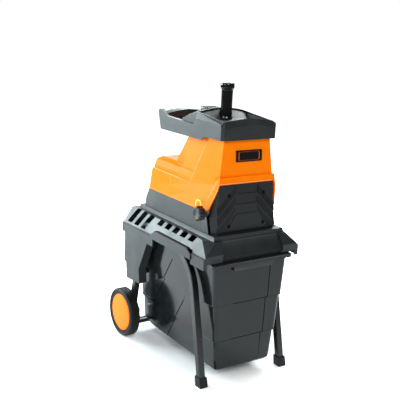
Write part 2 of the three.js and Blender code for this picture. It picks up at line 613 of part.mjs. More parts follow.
function hopperRim() {
  const { half, front, rear, inner } = RIM;
  const floor = NECK_TOP + 2;
  const nose = front + 9; // the front corners are cut off from here
  const sideProfile = [[nose, floor], [-153, floor], [-138, 872], [153, 872], [rear, 939], [165, 948],
    [157, 949],
    [148, 945], [116, 927], [-77, 922], [-92, 943], [nose, 941]];
  const side = prism('x', sideProfile, half - 15, half);
  const sideCore = prism('x', [[nose - 1, floor - 9], [-150, floor - 9], [-150, 860], [150, 860],
    [168, 936], [116, 922],
    [-80, 917], [-94, 938], [nose - 1, 936]], half - 16, half - WALL);
  const ridge = hull([[-84, 966], [-84, 925], [nose + 2, 950], [nose + 2, 925]].flatMap(([y, z]) => [
    [inner, y, z], [inner - WALL, y, z],
  ]).concat([[half - 1, -90, 943], [half - 1, nose, 941], [half - 1, -90, 938], [half - 1, nose, 936]]));
  const tail = hull([[-84, 966], [-84, 925], [18, 932], [18, 925]].flatMap(([y, z]) => [
    [inner, y, z], [inner - WALL, y, z],
  ]));
  const nosePoints = (by) => [
    ...arch(half - 9 - by, 926, 13 - by).flatMap(([x, z]) => [[x, front + by, z - by],
      [x, front + by, floor - by]]),
    ...arch(half - by, 929, 10 - by).flatMap(([x, z]) => [[x, nose + by, z - by],
      [x, nose + by, floor - by]]),
    ...arch(inner - by, 949, 11).map(([x, z]) => [x, nose + 3, z - by]),
    ...arch(inner - by, 949, 11).map(([x]) => [x, nose + 3, floor - by]),
  ];
  const frontFace = cut(hull(nosePoints(0)), hull(nosePoints(WALL)),
    block(-inner, inner, nose + 1, 0, floor - 9, 940));
  const hood = cut(
    join(archedBlock([-83, inner, 966, 13], [-30, inner, 951, 19], floor),
      archedBlock([-30, inner, 951, 19], [22, inner, 931, 24], floor)),
    join(archedBlock([-80, inner - WALL, 962, 13], [-30, inner - WALL, 947.5, 19], floor - 1),
      archedBlock([-30, inner - WALL, 947.5, 19], [19, inner - WALL, 928, 24], floor - 1)),
  );
  const grip = archedBlock([140, inner + 2, 929, 17], [164, inner + 2, 936, 14], 918);
  const gripCore = archedBlock([143, inner + 2, 925, 17], [161, inner + 2, 932, 14], 916);
  const rearWall = hull([[150, 872], [153, 872], [160, 925],
    [165, 925]].flatMap(([y, z]) => [[-half + 2, y, z], [half - 2, y, z]]));
  const floorPlate = cut(
    block(-half + 2, half - 2, nose, -60, floor, floor + WALL),
    block(-84, 84, nose + 2, -84, floor - 5, floor + 5),
  );
  const switchHole = block(-33, 33, -46, 18, 925, 1000);
  const sides = [cut(side, sideCore), ridge, tail];
  return cut(join(frontFace, hood, cut(grip, gripCore), rearWall, floorPlate, ...sides,
    ...sides.map(mirror)), switchHole);
}
addPart('hopper_rim', hopperRim(), COLOR.grey, 0.55);

function feedChute() {
  const flange = block(-101.5, 101.5, MOUTH.front + 0.5, MOUTH.rear - 3.5, 933, 937.4);
  const levels = [[82, -202, -88, 935], [60, -240, -165, 775], [44, -250, -166, CHAMBER.high + GAP + 0.5]];
  const inner = levels.map(([half, front, rear, z], i) => [half - WALL, front + WALL, rear - WALL,
    z + [3, 0, -1][i]]);
  const stage = (list, i) => tower(list[i], list[i + 1]);
  return cut(join(flange, stage(levels, 0), stage(levels, 1)), stage(inner, 0), stage(inner, 1));
}
addPart('feed_chute', feedChute(), COLOR.dark, 0.5);

// ---------- plunger ----------
addPart('plunger_handle', (() => {
  const profile = [[0, 943.2], [25, 943.2], [21.5, 950], [20.5, 1000], [21, 1049], [24, 1052], [26, 1056],
    [26.5, 1066],
    [24, 1072], [20, 1073.5], [0, 1073.5]].map(([r, z]) => new THREE.Vector2(r, z));
  const lathe = new THREE.LatheGeometry(profile, 28);
  return toSolid(lathe.rotateX(Math.PI / 2).translate(0, PLUNGER_Y, 0));
})(), COLOR.black, 0.15);
// The plate covers the mouth like a dish: flat round the handle, rising to the rear and the sides.
function plungerPlate() {
  const [front, rear] = [MOUTH.front + 4, MOUTH.rear - 5];
  const columns = [-100, -99, -93, -88, -66, -33, 0, 33, 66, 88, 93, 99, 100];
  const rows = [front, -230, -180, -126, -120, -108, -96, rear];
  const height = (x, y) => {
    const rise = Math.max(0, (y + 123) / (rear + 123));
    const crown = 958 + 14 * (1 - (x / 105) ** 2);
    const flank = Math.max(0, (Math.abs(x) - 88) / 12) * (948 + ((y - front) * 10) / (rear - front) - 941);
    return Math.max(941 + rise * (crown - 941), 941 + flank);
  };
  const surface = rows.map((y) => columns.map((x) => [x, y, height(x, y)]));
  const boss = bar('z', 29, [0, PLUNGER_Y], 938.5, 990, 28).intersect(sheet(surface, 45));
  const seat = bar('z', 26.2, [0, PLUNGER_Y], 942.9, 1000, 28);
  return cut(join(sheet(surface, 3), boss, block(-50, 50, -162, -138, 862, 939)), seat);
}
addPart('plunger_plate', plungerPlate(), COLOR.grey, 0.5);

// ---------- switch panel on the hood ----------
addPart('switch_box', cut(
  block(-30, 30, -38, 15, 936, 966),
  block(-26, 26, -34, 11, 934, 962),
  block(-21, -3, -24, -2, 950, 970),
  block(3, 21, -24, -2, 950, 970),
), COLOR.dark, 0.5);
addPart('start_button', block(-20.6, -3.4, -23.6, -2.4, 950, 968), COLOR.green, 0.4);
addPart('stop_button', block(3.4, 20.6, -23.6, -2.4, 950, 968), COLOR.red, 0.4);
addPart('switch_flap', join(
  block(-29, 29, -41, 16, 970, 973),
  bar('x', 2.6, [-41, 970.6], -29, 29, 12),
), COLOR.black, 0.3);

// ---------- cutter ----------
function cutterChamber() {
  const { half, front, rear, low, high } = CHAMBER;
  const shell = cut(block(-half, half, front, rear, low, high),
    block(-half + 6, half - 6, front + 6, rear - 6, low - 1, high + 1));
  const bores = bar('y', 17.8, [0, DRUM.z], front - 1, rear + 1, 20);
  const guide = bar('x', 12, [KNOB.y, KNOB.z], -half - 14, -half + 1, 24);
  const bore = bar('x', 6.4, [KNOB.y, KNOB.z], -half - 20, -half + 10, 20);
  return cut(join(cut(shell, bores), guide), bore);
}
addPart('cutter_chamber', cutterChamber(), COLOR.cast, 0.45, 0.8);
for (const [name, from] of [['front_bearing', CHAMBER.front], ['rear_bearing', CHAMBER.rear - 6]]) {
  addPart(name, ring('y', 17.5, DRUM.shaft + 0.3, [0, DRUM.z], from, from + 6), COLOR.steel, 0.3, 0.9);
}

// Eight straight teeth round the drum, each cut into lengths by grooves.
function cutterDrum() {
  const core = bar('y', 34, [0, DRUM.z], DRUM.front, DRUM.rear, 24);
  const teeth = Array.from({ length: 8 }, (_, i) => {
    const a = (2 * Math.PI * i) / 8;
    const at = (r, t) => [r * Math.cos(a + t), DRUM.z + r * Math.sin(a + t)];
    return prism('y', [at(30, -0.16), at(DRUM.radius, -0.04), at(DRUM.radius, 0.06), at(30, 0.22)],
      DRUM.front, DRUM.rear);
  });
  const grooves = [-222, -196].map((y) => ring('y', 60, 38, [0, DRUM.z], y - 2.5, y + 2.5));
  return cut(join(core, ...teeth), ...grooves, bar('y', DRUM.shaft + 0.1, [0, DRUM.z], -260, -160));
}
addPart('cutter_drum', cutterDrum(), COLOR.steel, 0.3, 0.95);

addPart('counter_plate', join(
  block(-58, -50, -246, -172, 606, 676),
  block(-62, -58, -243, -223, 622, 642),
), COLOR.steel, 0.3, 0.95);

// ---------- gear train ----------
const at = (from, distance, degrees) => [
  from[0] + distance * Math.cos((degrees * Math.PI) / 180),
  from[1] + distance * Math.sin((degrees * Math.PI) / 180),
];
const STAGES = [ // motor to drum: pinion and wheel teeth, module, y range of the pair
  { pinion: 10, wheel: 40, module: 1.95, y: [-112, -100] },
  { pinion: 10, wheel: 40, module: 1.95, y: [-131, -119] },
  { pinion: 11, wheel: 44, module: 2.5, y: [-152, -137] },
];
const spacing = ({ pinion, wheel, module }) => (module * (pinion + wheel)) / 2;
const OUTPUT_AXIS = [0, DRUM.z];
const SECOND_AXIS = at(OUTPUT_AXIS, spacing(STAGES[2]), 40);
const FIRST_AXIS = at(SECOND_AXIS, spacing(STAGES[1]), 150);
const MOTOR_AXIS = at(FIRST_AXIS, spacing(STAGES[0]), -95);

// Straight-flanked gear with a tooth centred on the angle given.
function gear(teeth, module, axis, [from, to], toothAt) {
  const pitch = (module * teeth) / 2;
  const [tip, root] = [pitch + 0.85 * module, pitch - 1.2 * module];
  const quarter = Math.PI / (2 * teeth);
  const outline = Array.from({ length: teeth }, (_, i) => {
    const a = toothAt + (2 * Math.PI * i) / teeth;
    return [[root, -1.45], [tip, -0.42], [tip, 0.42], [root, 1.45]].map(([r, share]) => [
      axis[0] + r * Math.cos(a + share * quarter), axis[1] + r * Math.sin(a + share * quarter),
    ]);
  }).flat();
  return prism('y', outline, from, to);
}
const bearing = (from, to) => Math.atan2(to[1] - from[1], to[0] - from[0]);
// The pinion has a tooth towards the wheel, and the wheel a gap towards the pinion.
const gapTowards = (teeth, angle) => angle + Math.PI / teeth;

const motorPinion = gear(STAGES[0].pinion, STAGES[0].module, MOTOR_AXIS, STAGES[0].y,
  bearing(MOTOR_AXIS, FIRST_AXIS));
const firstGear = join(
  gear(STAGES[0].wheel, STAGES[0].module, FIRST_AXIS, STAGES[0].y,
    gapTowards(STAGES[0].wheel, bearing(FIRST_AXIS, MOTOR_AXIS))),
  gear(STAGES[1].pinion, STAGES[1].module, FIRST_AXIS, STAGES[1].y, bearing(FIRST_AXIS, SECOND_AXIS)),
  bar('y', 6, FIRST_AXIS, -154.6, -93.4, 20),
);
const secondGear = join(
  gear(STAGES[1].wheel, STAGES[1].module, SECOND_AXIS, STAGES[1].y,
    gapTowards(STAGES[1].wheel, bearing(SECOND_AXIS, FIRST_AXIS))),
  gear(STAGES[2].pinion, STAGES[2].module, SECOND_AXIS, STAGES[2].y, bearing(SECOND_AXIS, OUTPUT_AXIS)),
  bar('y', 8, SECOND_AXIS, -154.6, -93.4, 20),
);
const outputGear = join(
  gear(STAGES[2].wheel, STAGES[2].module, OUTPUT_AXIS, STAGES[2].y,
    gapTowards(STAGES[2].wheel, bearing(OUTPUT_AXIS, SECOND_AXIS))),
  bar('y', DRUM.shaft, OUTPUT_AXIS, -256.5, -136),
);
addPart('first_reduction_gear', firstGear, COLOR.steel, 0.35, 0.9);
addPart('second_reduction_gear', secondGear, COLOR.steel, 0.35, 0.9);
addPart('output_gear_shaft', outputGear, COLOR.steel, 0.35, 0.9);

const GEARBOX = { outline: [[-66, 574], [66, 574], [104, 640], [104, 738], [60, 759], [-40, 759],
  [-66, 700]], front: -161.6, rear: -88 };
function gearboxHalf(from, to, inFrom, inTo, holeAxis, hole) {
  const centre = [17, 664];
  const inner = GEARBOX.outline.map(([x, z]) => [centre[0] + (x - centre[0]) * 0.94,
    centre[1] + (z - centre[1]) * 0.95]);
  return cut(prism('y', GEARBOX.outline, from, to), prism('y', inner, inFrom, inTo),
    bar('y', hole, holeAxis, from - 5, to + 5));
}
addPart('gearbox_casing', gearboxHalf(GEARBOX.front, -124, GEARBOX.front + 5, -120, OUTPUT_AXIS,
  DRUM.shaft + GAP), COLOR.cast, 0.5, 0.7);
addPart('gearbox_cover', gearboxHalf(-123.7, GEARBOX.rear, -130, GEARBOX.rear - 5, MOTOR_AXIS, 8),
  COLOR.cast, 0.5, 0.7);

// ---------- motor ----------
const MOTOR = { radius: 62, front: -87.7, rear: 72 };
addPart('motor_housing', cut(
  bar('y', MOTOR.radius, MOTOR_AXIS, MOTOR.front, MOTOR.rear, 28),
  bar('y', MOTOR.radius - 4, MOTOR_AXIS, MOTOR.front - 1, MOTOR.rear - 5, 28),
  bar('y', 8, MOTOR_AXIS, MOTOR.rear - 6, MOTOR.rear + 1),
), COLOR.cast, 0.5, 0.7);
addPart('stator_core', ring('y', MOTOR.radius - 4.5, 36.6, MOTOR_AXIS, -62, 48, 28), COLOR.steel, 0.5, 0.8);
addPart('motor_rotor', join(
  motorPinion,
  bar('y', 7, MOTOR_AXIS, -112, 122, 20),
  bar('y', 35.4, MOTOR_AXIS, -60, 46, 32),
), COLOR.steel, 0.35, 0.9);
addPart('cooling_fan', cut(
  join(
    bar('y', 14, MOTOR_AXIS, 84, 104),
    bar('y', 48, MOTOR_AXIS, 84, 86.5, 20),
    ...Array.from({ length: 8 }, (_, i) => {
      const a = (Math.PI * i) / 4;
      const p = (r, t) => [MOTOR_AXIS[0] + r * Math.cos(a) - t * Math.sin(a),
        MOTOR_AXIS[1] + r * Math.sin(a) + t * Math.cos(a)];
      return prism('y', [p(12, -1.2), p(47, -1.2), p(47, 1.2), p(12, 1.2)], 86, 102);
    }),
  ),
  bar('y', 7.1, MOTOR_AXIS, 80, 110),
), COLOR.dark, 0.5);
addPart('fan_cowl', cut(
  bar('y', MOTOR.radius, MOTOR_AXIS, MOTOR.rear + GAP, 128, 28),
  bar('y', MOTOR.radius - 3, MOTOR_AXIS, MOTOR.rear - 1, 125, 28),
  ...Array.from({ length: 6 }, (_, i) => {
    const a = (Math.PI * (i + 0.5)) / 3;
    return bar('y', 12, [MOTOR_AXIS[0] + 38 * Math.cos(a), MOTOR_AXIS[1] + 38 * Math.sin(a)], 120, 130, 12);
  }),
), COLOR.dark, 0.5);
addPart('motor_cradle', cut(
  block(-42, 56, -60, 50, COVER.top + GAP, 622),
  bar('y', MOTOR.radius + GAP, MOTOR_AXIS, -70, 60, 28),
), COLOR.steel, 0.5, 0.7);
addPart('run_capacitor', bar('y', 19, [112, 585], -40, 40), COLOR.grey, 0.4);

// ---------- adjuster ----------
addPart('adjuster_spindle', join(
  bar('x', 6, [KNOB.y, KNOB.z], KNOB.outer + 8, -64.5, 20),
  bar('x', 9, [KNOB.y, KNOB.z], -128, -123, 20),
), COLOR.steel, 0.3, 0.95);
addPart('adjuster_knob', (() => {
  const lobed = Array.from({ length: 32 }, (_, i) => {
    const a = (2 * Math.PI * i) / 32;
    const r = KNOB.radius - 2.2 + 2.2 * Math.cos(8 * a);
    return [KNOB.y + r * Math.cos(a), KNOB.z + r * Math.sin(a)];
  });
  const dimples = Array.from({ length: 6 }, (_, i) => {
    const a = (Math.PI * i) / 3 + 0.3;
    return bar('x', 2.6, [KNOB.y + 16 * Math.cos(a), KNOB.z + 16 * Math.sin(a)], KNOB.outer - 1,
      KNOB.outer + 5, 10);
  });
  return cut(prism('x', lobed, KNOB.outer, KNOB.outer + KNOB.thick),
    bar('x', 6.1, [KNOB.y, KNOB.z], KNOB.outer + 7, KNOB.outer + 30, 20), ...dimples);
})(), COLOR.dark, 0.5);

// ---------- power inlet ----------
addPart('power_inlet', join(
  cut(block(54.3, 105.7, 160, 214, 583.3, 626.7), bar('y', 18.5, [80, 605], 180, 220, 28)),
  ...[-9.5, 9.5].map((x) => bar('y', 2.4, [80 + x, 605], 178, 199, 12)),
), COLOR.black, 0.4);

// Yellow pointer behind the knob that shows which way to turn it.
addPart('turn_mark', (() => {
  const loop = [[-203, 640], [-200, 659], [-193, 667], [-174, 667], [-167, 660], [-163, 640],
    [-167.5, 640], [-171, 657], [-176, 662], [-191, 662], [-195.5, 656], [-198.5, 640]];
  return prism('x', loop, -153.5, -150 - GAP);
})(), COLOR.yellow, 0.5);

// Microswitch that the bin's rim closes when it is pushed home.
addPart('safety_switch', join(
  block(120, 156, 205, 216, 500, 522),
  block(134, 142, 209, 215, 468.8, 501),
), COLOR.dark, 0.5);

export default group;
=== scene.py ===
# %% [markdown]
# # An electric garden chipper
# The machine stands on a bent tube frame with two wheels. A dark grey cover sits on the frame, an
# orange housing holds the motor and the cutter, a hopper with a plunger is on top, and a bin slides
# in underneath. The CAD model already gives every part its place and size. This lesson gives each
# part its fine shape and its finish, then lights it in a plain white studio.

# %% Load the CAD frame
import json
import math

import bmesh
import bpy
import numpy as np
from mathutils import Matrix, Vector


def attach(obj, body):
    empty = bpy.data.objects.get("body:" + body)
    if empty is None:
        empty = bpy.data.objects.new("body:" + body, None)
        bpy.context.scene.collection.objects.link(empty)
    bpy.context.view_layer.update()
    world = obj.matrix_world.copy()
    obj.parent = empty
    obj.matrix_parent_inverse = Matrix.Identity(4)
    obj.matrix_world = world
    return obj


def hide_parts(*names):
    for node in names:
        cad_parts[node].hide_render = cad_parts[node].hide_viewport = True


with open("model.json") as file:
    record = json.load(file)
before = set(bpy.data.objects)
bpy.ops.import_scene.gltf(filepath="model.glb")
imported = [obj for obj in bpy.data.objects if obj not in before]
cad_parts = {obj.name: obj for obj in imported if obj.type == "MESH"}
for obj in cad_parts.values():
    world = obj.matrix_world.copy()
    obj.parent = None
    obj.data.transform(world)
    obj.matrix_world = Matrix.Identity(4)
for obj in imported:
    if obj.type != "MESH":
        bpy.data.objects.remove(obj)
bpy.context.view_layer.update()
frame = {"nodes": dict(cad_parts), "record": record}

# %% [markdown]
# Every node of the CAD model belongs to a body, which is what moves, and has a material slot. Both
# are read from the record, so a fine piece that stands for a node can ask for them by its name.

# %% Bodies and slots of the nodes
MM = 0.001
BODIES = frame["record"]["behaviour"]["bodies"]
BODY = {node: body for body, nodes in BODIES.items() for node in nodes}
SLOT = {part["node"]: part["material_slot"] for part in frame["record"]["subparts"]}

# %% [markdown]
# ## Materials
# A colour is given as a hex value, as a paint chart gives it, and one function turns it into the
# linear numbers that the renderer works with. One more function adds a node to a material, with its
# settings and its links. All the patterns read Object coordinates, which are metres on the real
# machine, so a scale of 1000 / 2.5 gives a grain 2.5 mm apart.

# %% Colour and node helpers
def linear(code, alpha=1.0):
    """sRGB hex to linear: c / 12.92 near black, else ((c + 0.055) / 1.055) to the power 2.4."""
    values = [int(code[i:i + 2], 16) / 255 for i in (0, 2, 4)]
    lit = [c / 12.92 if c <= 0.04045 else ((c + 0.055) / 1.055) ** 2.4 for c in values]
    return (*lit, alpha)


def add(tree, kind, inputs=None, **settings):
    """Adds a node. An input is a value, or another node's output to link."""
    made = tree.nodes.new(kind)
    for key, value in settings.items():
        setattr(made, key, value)
    for key, value in (inputs or {}).items():
        if isinstance(value, bpy.types.NodeSocket):
            tree.links.new(value, made.inputs[key])
        else:
            made.inputs[key].default_value = value
    return made


def per_mm(size):
    """The texture scale that gives a pattern of that size in millimetres."""
    return 1000 / size


def new_material(name):
    """An empty material with its output node, and the object coordinates to draw patterns on."""
    material = bpy.data.materials.new(name)
    material.use_nodes = True
    tree = material.node_tree
    tree.nodes.clear()
    place = add(tree, "ShaderNodeTexCoord").outputs["Object"]
    return material, tree, place


def ramp(tree, fac, stops):
    """A colour ramp through (position, colour) stops."""
    made = add(tree, "ShaderNodeValToRGB", {"Fac": fac})
    elements = made.color_ramp.elements
    while len(elements) < len(stops):
        elements.new(0.5)
    for element, (position, colour) in zip(elements, stops):
        element.position = position
        element.color = colour
    return made.outputs["Color"]


def finish_material(tree, **inputs):
    """A principled shader with the given inputs, linked to the material's output."""
    shader = add(tree, "ShaderNodeBsdfPrincipled", inputs)
    add(tree, "ShaderNodeOutputMaterial", {"Surface": shader.outputs["BSDF"]})
    return shader


# %% [markdown]
# ### Moulded plastics
# Nearly the whole machine is injection-moulded plastic. The mould leaves either an eroded grain, a
# fine pitted skin that looks satin, or a polished skin. Both have faint flow marks, a slightly
# uneven gloss, dust in patches and rubbed edges. One function makes them all: the grain's size and
# height, the gloss and the colours are what differ.

# %% Plastic
PATCH_MM = 90  # about a hand's width: how far apart the dustier and the glossier patches are
FLOW_MM = 9  # flow marks of the melt


def plastic(name, colour, worn, grain_mm=1.1, grain_height=0.05, gloss=(0.42, 0.58),
            specular=0.5, coat=0.0):
    """Two noises vary the colour and gloss over patches, and a fine one makes the grain."""
    material, tree, place = new_material(name)
    patches = add(tree, "ShaderNodeTexNoise",
                  {"Vector": place, "Scale": per_mm(PATCH_MM), "Detail": 3.0})
    flow = add(tree, "ShaderNodeTexNoise",
               {"Vector": place, "Scale": per_mm(FLOW_MM), "Detail": 4.0, "Roughness": 0.65})
    grain = add(tree, "ShaderNodeTexNoise",
                {"Vector": place, "Scale": per_mm(grain_mm), "Detail": 2.0})
    mixed = add(tree, "ShaderNodeMix", {0: 0.4, 2: patches.outputs["Fac"],
                                        3: flow.outputs["Fac"]}, data_type="FLOAT")
    base = ramp(tree, mixed.outputs[0], [(0.3, linear(colour)), (0.75, linear(worn))])
    rough = add(tree, "ShaderNodeMapRange",
                {"Value": patches.outputs["Fac"], "From Min": 0.3, "From Max": 0.7,
                 "To Min": gloss[0], "To Max": gloss[1]})
    edge = add(tree, "ShaderNodeNewGeometry")
    rub = add(tree, "ShaderNodeMapRange",
              {"Value": edge.outputs["Pointiness"], "From Min": 0.52, "From Max": 0.62,
               "To Min": 0.0, "To Max": 0.35})
    rubbed = add(tree, "ShaderNodeMix", {0: rub.outputs["Result"], 6: base, 7: linear(worn)},
                 data_type="RGBA")
    bump = add(tree, "ShaderNodeBump", {"Height": grain.outputs["Fac"],
                                        "Strength": grain_height, "Distance": 0.0004})
    finish_material(tree, **{
        "Base Color": rubbed.outputs[2], "Roughness": rough.outputs["Result"],
        "Normal": bump.outputs["Normal"], "IOR": 1.5, "Specular IOR Level": specular,
        "Coat Weight": coat, "Coat Roughness": 0.12,
    })
    return material


# %% [markdown]
# ## Shapes
# Two ways of making a surface cover the whole machine. A moulded shell with flat panels starts from
# the CAD solid: its triangles are joined back into panels and its edges are rounded, because no
# moulded edge is sharp and the rounding is what catches the light. A turned, bent or patterned
# piece is a grid of points worked out from a formula.

# %% Helpers that place pieces
def place_piece(obj, material, body, replaces=()):
    """Shows the object, gives it its finish and lets it ride on a CAD body."""
    if obj.name not in bpy.context.scene.collection.objects:
        bpy.context.scene.collection.objects.link(obj)
    obj.data.materials.clear()
    obj.data.materials.append(material)
    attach(obj, body)
    if replaces:
        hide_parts(*replaces)
    return obj


def bevelled(obj, width, segments=2, angle=9):
    """Rounds the edges that are sharper than the angle, width in mm, and keeps the panels flat."""
    edges = obj.modifiers.new("rounded edges", "BEVEL")
    edges.width = width * MM
    edges.segments = segments
    edges.limit_method = "ANGLE"
    edges.angle_limit = math.radians(angle)
    edges.harden_normals = True
    obj.data.shade_smooth()
    obj.data.set_sharp_from_angle(angle=math.radians(angle))
    return obj


def refined(node, material, width=1.2, segments=2, angle=9):
    """The CAD solid with its triangles joined into panels and its edges rounded."""
    shell = bmesh.new()
    shell.from_mesh(frame["nodes"][node].data)
    bmesh.ops.remove_doubles(shell, verts=shell.verts, dist=2e-5)
    bmesh.ops.dissolve_limit(shell, angle_limit=math.radians(1.0), verts=shell.verts,
                             edges=shell.edges)
    mesh = bpy.data.meshes.new(node + "_fine")
    shell.to_mesh(mesh)
    shell.free()
    obj = bpy.data.objects.new(node + "_fine", mesh)
    bevelled(obj, width, segments, angle)
    return place_piece(obj, material, BODY[node], [node])


def grid_object(name, points, wrap_rows=False, wrap_columns=False, cap_ends=False, smooth=True):
    """A mesh on a grid of points (rows, columns, 3) in mm: a quad between each point and its
    neighbours in the next row and column. Ends can be closed with one flat face each."""
    points = np.asarray(points, float)
    rows, columns = points.shape[:2]
    index = np.arange(rows * columns).reshape(rows, columns)
    here = index if wrap_rows else index[:-1]
    down = np.roll(index, -1, 0) if wrap_rows else index[1:]
    if wrap_columns:
        corners = [here, np.roll(here, -1, 1), np.roll(down, -1, 1), down]
    else:
        corners = [here[:, :-1], here[:, 1:], down[:, 1:], down[:, :-1]]
    faces = np.stack(corners, -1).reshape(-1, 4).tolist()
    if cap_ends:
        faces += [index[0][::-1].tolist(), index[-1].tolist()]
    mesh = bpy.data.meshes.new(name)
    mesh.from_pydata((points.reshape(-1, 3) * MM).tolist(), [], faces)
    work = bmesh.new()
    work.from_mesh(mesh)
    bmesh.ops.remove_doubles(work, verts=work.verts, dist=1e-6)
    bmesh.ops.recalc_face_normals(work, faces=work.faces)
    work.to_mesh(mesh)
    work.free()
    if smooth:
        mesh.shade_smooth()
    return bpy.data.objects.new(name, mesh)


def turned(name, profile, centre, axis="x", sides=96):
    """A profile of (radius, place along the axis) points, turned once round that axis."""
    profile = np.asarray(profile, float)
    turn = np.linspace(0, 2 * math.pi, sides, endpoint=False)
    radius, along = profile[:, :1], profile[:, 1:]
    first, second = radius * np.cos(turn), radius * np.sin(turn)
    along = along + 0 * turn
    order = (along, first, second) if axis == "x" else (first, second, along)
    return grid_object(name, np.stack(order, -1) + np.asarray(centre, float), wrap_columns=True)


def rounded_profile(points, radius, steps=5):
    """An open profile whose inner corners become curves tangent to both their sides: a start,
    corner and end point weighted by (1 - t) squared, 2t(1 - t) and t squared."""
    points = np.asarray(points, float)
    made = [points[0]]
    for before, corner, after in zip(points[:-2], points[1:-1], points[2:]):
        to_before, to_after = before - corner, after - corner
        reach = min(radius, np.linalg.norm(to_before) / 2, np.linalg.norm(to_after) / 2)
        start = corner + to_before / np.linalg.norm(to_before) * reach
        end = corner + to_after / np.linalg.norm(to_after) * reach
        share = np.linspace(0, 1, steps)[:, None]
        curve = (1 - share) ** 2 * start + 2 * share * (1 - share) * corner + share ** 2 * end
        made += list(curve)
    made.append(points[-1])
    return np.array(made)

# %% [markdown]
# ## The finishes
# Colours below are the pigment of each part, from its usual shade to its worn or dusty one. The
# covers are a dark grey ABS with an eroded grain, the motor housing is a polished orange ABS, the
# bin is polypropylene from a polished mould, and the stand is powder-coated steel. The grains are
# coarser than real ones, so that they still show from a few metres away. The pale orange of the
# housing's rolled edges is no pigment: it is a painted highlight.

# %% Plastics and rubber
# An eroded mould leaves small pits that spread the light: satin, with soft bright sides.
COVER_GREY = plastic("grained dark grey ABS", "0d1213", "171e1f",
                     grain_mm=1.3, grain_height=0.12, gloss=(0.4, 0.54), specular=0.6)
GRILLE_GREY = plastic("satin black-grey ABS", "090b0d", "12161a",
                      grain_mm=1.2, grain_height=0.08, gloss=(0.34, 0.46))
BLACK_SATIN = plastic("satin black nylon", "0d0e0f", "191b1c",
                      grain_mm=1.2, grain_height=0.06, gloss=(0.4, 0.55))
# A polished mould leaves a smooth skin. Its reflection is kept weak here, so that the orange stays
# full under the bright lights.
ORANGE = plastic("polished orange ABS", "ff7803", "ff8208",
                 grain_mm=2.5, grain_height=0.015, gloss=(0.3, 0.42), specular=0.05)
HUB_ORANGE = plastic("orange polypropylene", "ff7a08", "ff8614",
                     grain_mm=2.5, grain_height=0.02, gloss=(0.4, 0.5), specular=0.1)
# Pale orange for the housing's rolled edges: a painted highlight, the light those rounded edges
# catch.
PAINTED_EDGE_HIGHLIGHT = plastic("orange ABS with painted edge highlight", "ffb05a", "ffcd94",
               grain_mm=2.0, grain_height=0.02, gloss=(0.3, 0.4), specular=0.3)
# The bin and the plunger come from mirror-polished moulds, so they mirror what stands beside them.
BIN_GREY = plastic("polished dark grey polypropylene", "0f1213", "181b1c",
                   grain_mm=3.5, grain_height=0.02, gloss=(0.1, 0.17), specular=0.38)
BLACK_GLOSS = plastic("gloss black polypropylene", "070708", "0f0f10",
                      grain_mm=3.0, grain_height=0.01, gloss=(0.08, 0.16))
# Small coloured parts: plain gloss mouldings and a printed film.
YELLOW, RED, GREEN, LABEL = [
    plastic(name, colour, worn, grain_mm=2.0, grain_height=height, gloss=gloss)
    for name, colour, worn, height, gloss in (
        ("yellow ABS", "f2e21a", "f7ec55", 0.02, (0.35, 0.45)),
        ("red ABS", "b0190f", "c23326", 0.02, (0.3, 0.4)),
        ("green ABS", "16733a", "2c8a4f", 0.02, (0.3, 0.4)),
        ("white vinyl label", "efeae2", "f6f3ee", 0.01, (0.3, 0.4)),
    )]
# Rubber is matt and takes up dust. Powder coat is an even, slightly pebbled gloss over steel.
RUBBER = plastic("moulded black rubber", "0a0a0b", "141415",
                 grain_mm=0.9, grain_height=0.15, gloss=(0.5, 0.65), specular=0.4)
POWDER = plastic("black powder coat", "0a0b0c", "151718",
                 grain_mm=1.6, grain_height=0.06, gloss=(0.22, 0.34), coat=0.15)
CAST = plastic("die-cast aluminium", "8f9293", "a5a8a9",
               grain_mm=1.5, grain_height=0.1, gloss=(0.4, 0.55))
print("plastics, rubber, powder coat and castings")

# %% [markdown]
# ### Metals
# Zinc plating and grinding both leave fine streaks, here stretched along X. They show as thin
# lines of slightly different gloss.

# %% Metals and the finish of every slot
def metal(name, colour, streaked, rough=(0.3, 0.45), grain_mm=0.6):
    """Metallic, with streaks along X: noise whose X is squeezed to a twentieth."""
    material, tree, place = new_material(name)
    stretch = add(tree, "ShaderNodeMapping", {"Vector": place, "Scale": (0.05, 1.0, 1.0)})
    streaks = add(tree, "ShaderNodeTexNoise", {"Vector": stretch.outputs["Vector"],
                                               "Scale": per_mm(grain_mm), "Detail": 3.0})
    base = ramp(tree, streaks.outputs["Fac"], [(0.35, linear(colour)), (0.7, linear(streaked))])
    roughness = add(tree, "ShaderNodeMapRange", {"Value": streaks.outputs["Fac"],
                                                 "To Min": rough[0], "To Max": rough[1]})
    finish_material(tree, **{"Base Color": base, "Metallic": 1.0,
                             "Roughness": roughness.outputs["Result"]})
    return material


ZINC = metal("zinc-plated steel", "b9bdc0", "d4d7d9")
GROUND = metal("ground tool steel", "8d9194", "b3b6b8", rough=(0.2, 0.35))
